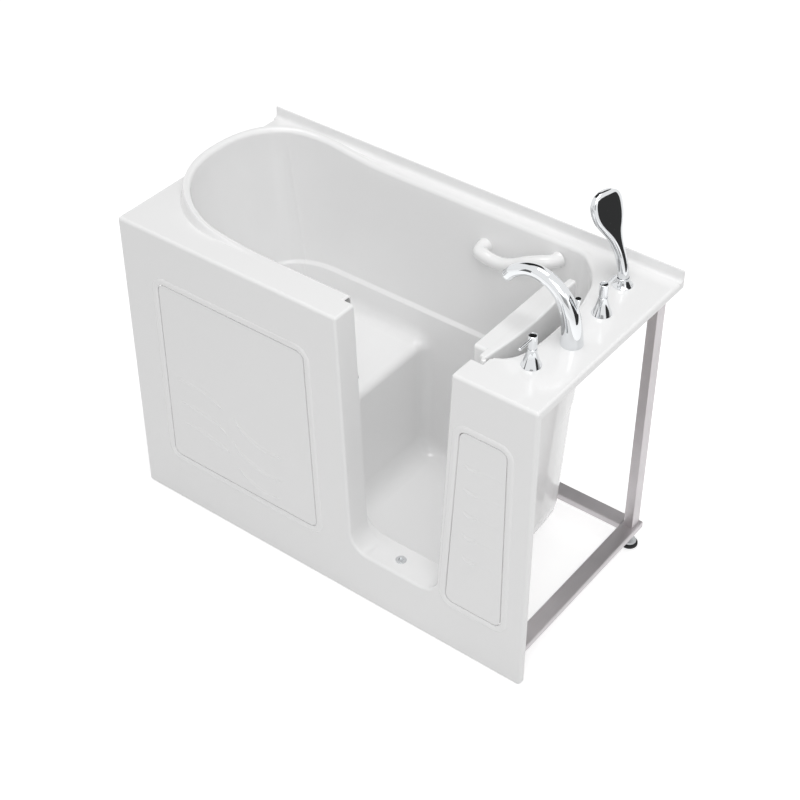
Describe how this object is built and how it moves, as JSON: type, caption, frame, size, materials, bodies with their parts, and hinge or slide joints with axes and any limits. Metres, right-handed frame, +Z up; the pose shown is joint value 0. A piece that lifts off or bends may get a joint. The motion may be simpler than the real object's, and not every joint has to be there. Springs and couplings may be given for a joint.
{
  "type": "walk-in bathtub",
  "caption": "White walk-in jetted bathtub with an inward-opening door, raised headrest, deck taps, arched spout, hand shower, grab bar and open steel frame.",
  "frame": {"origin": "middle of the footprint at floor level", "axes": "+X to the right along the front, -Y is the front with the door, +Z up"},
  "size_m": [1.346, 0.664, 1.1743],
  "materials": {
    "gelcoat": "glossy white",
    "stainless": "brushed",
    "chrome": "polished",
    "rubber": "matte black",
    "brass": "satin",
    "plastic_grey": "matte grey",
    "pipe_plastic": "matte white",
    "pump_plastic": "matte black"
  },
  "bodies": {
    "tub": {"basin": "gelcoat", "deck": "gelcoat", "front_apron": "gelcoat", "door_surround": "gelcoat", "left_access_panel": "gelcoat", "right_access_panel": "gelcoat", "grab_bar": "gelcoat", "front_rail": "stainless", "rear_rail": "stainless", "left_rail": "stainless", "right_rail": "stainless", "corner_posts": "stainless", "top_rail": "stainless", "seat_frames": "stainless", "floor_straps": "stainless", "foot_locknuts": "stainless", "panel_clips": "stainless", "frame_hinge_leaves": "stainless", "hinge_pins": "stainless", "pump_base": "stainless", "latch_base": "chrome", "latch_pivot": "chrome", "sill_drain": "chrome", "floor_drain": "chrome", "suction_cover": "chrome", "spout": "chrome", "hot_tap_skirt": "chrome", "cold_tap_skirt": "chrome", "shower_holder": "chrome", "jet_bodies": "chrome", "valve_bodies": "brass", "hot_pipe": "brass", "cold_pipe": "brass", "spout_aerator": "plastic_grey", "jet_manifold": "pipe_plastic", "pump_wet_end": "pump_plastic", "pump_motor": "pump_plastic"},
    "door": {"door_outer_shell": "gelcoat", "door_inner_shell": "gelcoat", "door_seal": "rubber", "door_hinge_leaves": "stainless", "latch_keeper": "chrome"},
    "latch": {"latch_lever": "chrome"},
    "stopper": {"drain_stopper": "chrome"},
    "diverter": {"diverter_rod": "chrome"},
    "hot_lever": {"hot_tap_lever": "chrome"},
    "cold_lever": {"cold_tap_lever": "chrome"},
    "handset_body": {"handset": "chrome", "handset_face": "plastic_grey"},
    "nozzle_1": {"jet_nozzle_1": "chrome"},
    "nozzle_2": {"jet_nozzle_2": "chrome"},
    "nozzle_3": {"jet_nozzle_3": "chrome"},
    "foot_front_left_body": {"foot_front_left": "stainless", "pad_front_left": "rubber"},
    "foot_front_right_body": {"foot_front_right": "stainless", "pad_front_right": "rubber"},
    "foot_rear_left_body": {"foot_rear_left": "stainless", "pad_rear_left": "rubber"},
    "foot_rear_right_body": {"foot_rear_right": "stainless", "pad_rear_right": "rubber"}
  },
  "joints": [
    {"name": "door_hinge", "type": "hinge", "parent": "tub", "child": "door", "pos_m": [0.452, -0.234, 0.555], "axis": [0, 0, 1], "range_deg": [0, 90]},
    {"name": "latch_pivot_joint", "type": "hinge", "parent": "tub", "child": "latch", "pos_m": [0.02988, -0.211, 0.662], "axis": [0, -1, 0], "range_deg": [0, 90]},
    {"name": "stopper_lift", "type": "slide", "parent": "tub", "child": "stopper", "axis": [0, 0, 1], "range_m": [0, 0.008]},
    {"name": "diverter_pull", "type": "slide", "parent": "tub", "child": "diverter", "axis": [0, 0, 1], "range_m": [0, 0.012]},
    {"name": "hot_lever_turn", "type": "hinge", "parent": "tub", "child": "hot_lever", "pos_m": [0.555, -0.184, 0.99], "axis": [0, 0, 1], "range_deg": [0, 90]},
    {"name": "cold_lever_turn", "type": "hinge", "parent": "tub", "child": "cold_lever", "pos_m": [0.579, 0.091, 0.99], "axis": [0, 0, 1], "range_deg": [0, 90]},
    {"name": "handset_lift", "type": "slide", "parent": "tub", "child": "handset_body", "axis": [0, 0, 1], "range_m": [0, 0.06]},
    {"name": "nozzle_1_turn", "type": "hinge", "parent": "tub", "child": "nozzle_1", "pos_m": [-0.37, -0.221, 0.65], "axis": [0, 1, 0], "range_deg": [0, 90]},
    {"name": "nozzle_2_turn", "type": "hinge", "parent": "tub", "child": "nozzle_2", "pos_m": [-0.25, -0.221, 0.65], "axis": [0, 1, 0], "range_deg": [0, 90]},
    {"name": "nozzle_3_turn", "type": "hinge", "parent": "tub", "child": "nozzle_3", "pos_m": [-0.13, -0.221, 0.65], "axis": [0, 1, 0], "range_deg": [0, 90]},
    {"name": "foot_front_left_screw", "type": "slide", "parent": "tub", "child": "foot_front_left_body", "axis": [0, 0, -1], "range_m": [0, 0.012]},
    {"name": "foot_front_right_screw", "type": "slide", "parent": "tub", "child": "foot_front_right_body", "axis": [0, 0, -1], "range_m": [0, 0.012]},
    {"name": "foot_rear_left_screw", "type": "slide", "parent": "tub", "child": "foot_rear_left_body", "axis": [0, 0, -1], "range_m": [0, 0.012]},
    {"name": "foot_rear_right_screw", "type": "slide", "parent": "tub", "child": "foot_rear_right_body", "axis": [0, 0, -1], "range_m": [0, 0.012]}
  ]
}
